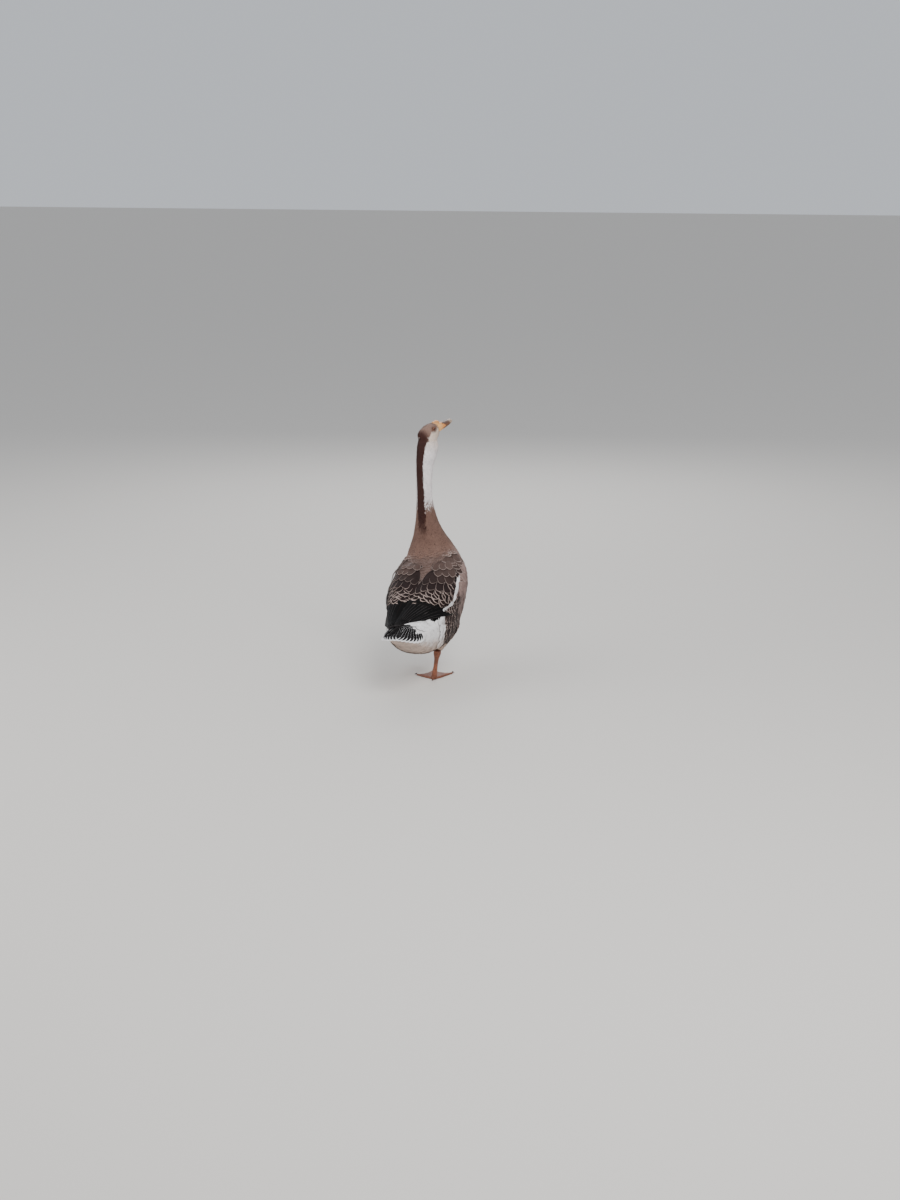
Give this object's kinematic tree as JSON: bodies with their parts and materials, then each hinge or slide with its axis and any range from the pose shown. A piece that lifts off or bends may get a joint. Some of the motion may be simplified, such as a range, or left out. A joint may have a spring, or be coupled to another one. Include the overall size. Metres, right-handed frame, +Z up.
{
  "type": "domestic goose figure",
  "caption": "Life-size still figure of a brown and white domestic goose, upright neck, head turned right and raised, weight on the right webbed foot, left foot lifted.",
  "frame": {"origin": "on the floor, under the centre of the bounding box", "axes": "+Z up, the goose's body heads along -Y and its right side faces -X; the head is turned towards -X"},
  "size_m": [0.2296, 0.4906, 0.777],
  "materials": {
    "plumage": "overlapping matt feathers, brown and grey with white and black fields",
    "bill": "smooth horn with a soft shine, orange with dark marks",
    "eyes": "wet gloss, dark brown",
    "legs": "scaly skin with a dull shine, orange-brown",
    "claws": "dark horn"
  },
  "bodies": {
    "root": {"bill_lower": "bill", "bill_nail": "bill", "bill_upper": "bill", "claw_hind_left": "claws", "claw_hind_right": "claws", "claw_inner_left": "claws", "claw_inner_right": "claws", "claw_middle_left": "claws", "claw_middle_right": "claws", "claw_outer_left": "claws", "claw_outer_right": "claws", "eye_left": "eyes", "eye_right": "eyes", "foot_left": "legs", "foot_right": "legs", "head": "plumage", "knob": "bill", "neck_lower": "plumage", "neck_upper": "plumage", "shank_left": "legs", "shank_right": "legs", "tail": "plumage", "thigh_left": "plumage", "thigh_right": "plumage", "trunk": "plumage", "wing_left": "plumage", "wing_right": "plumage", "wingtip_left": "plumage", "wingtip_right": "plumage"}
  },
  "joints": []
}
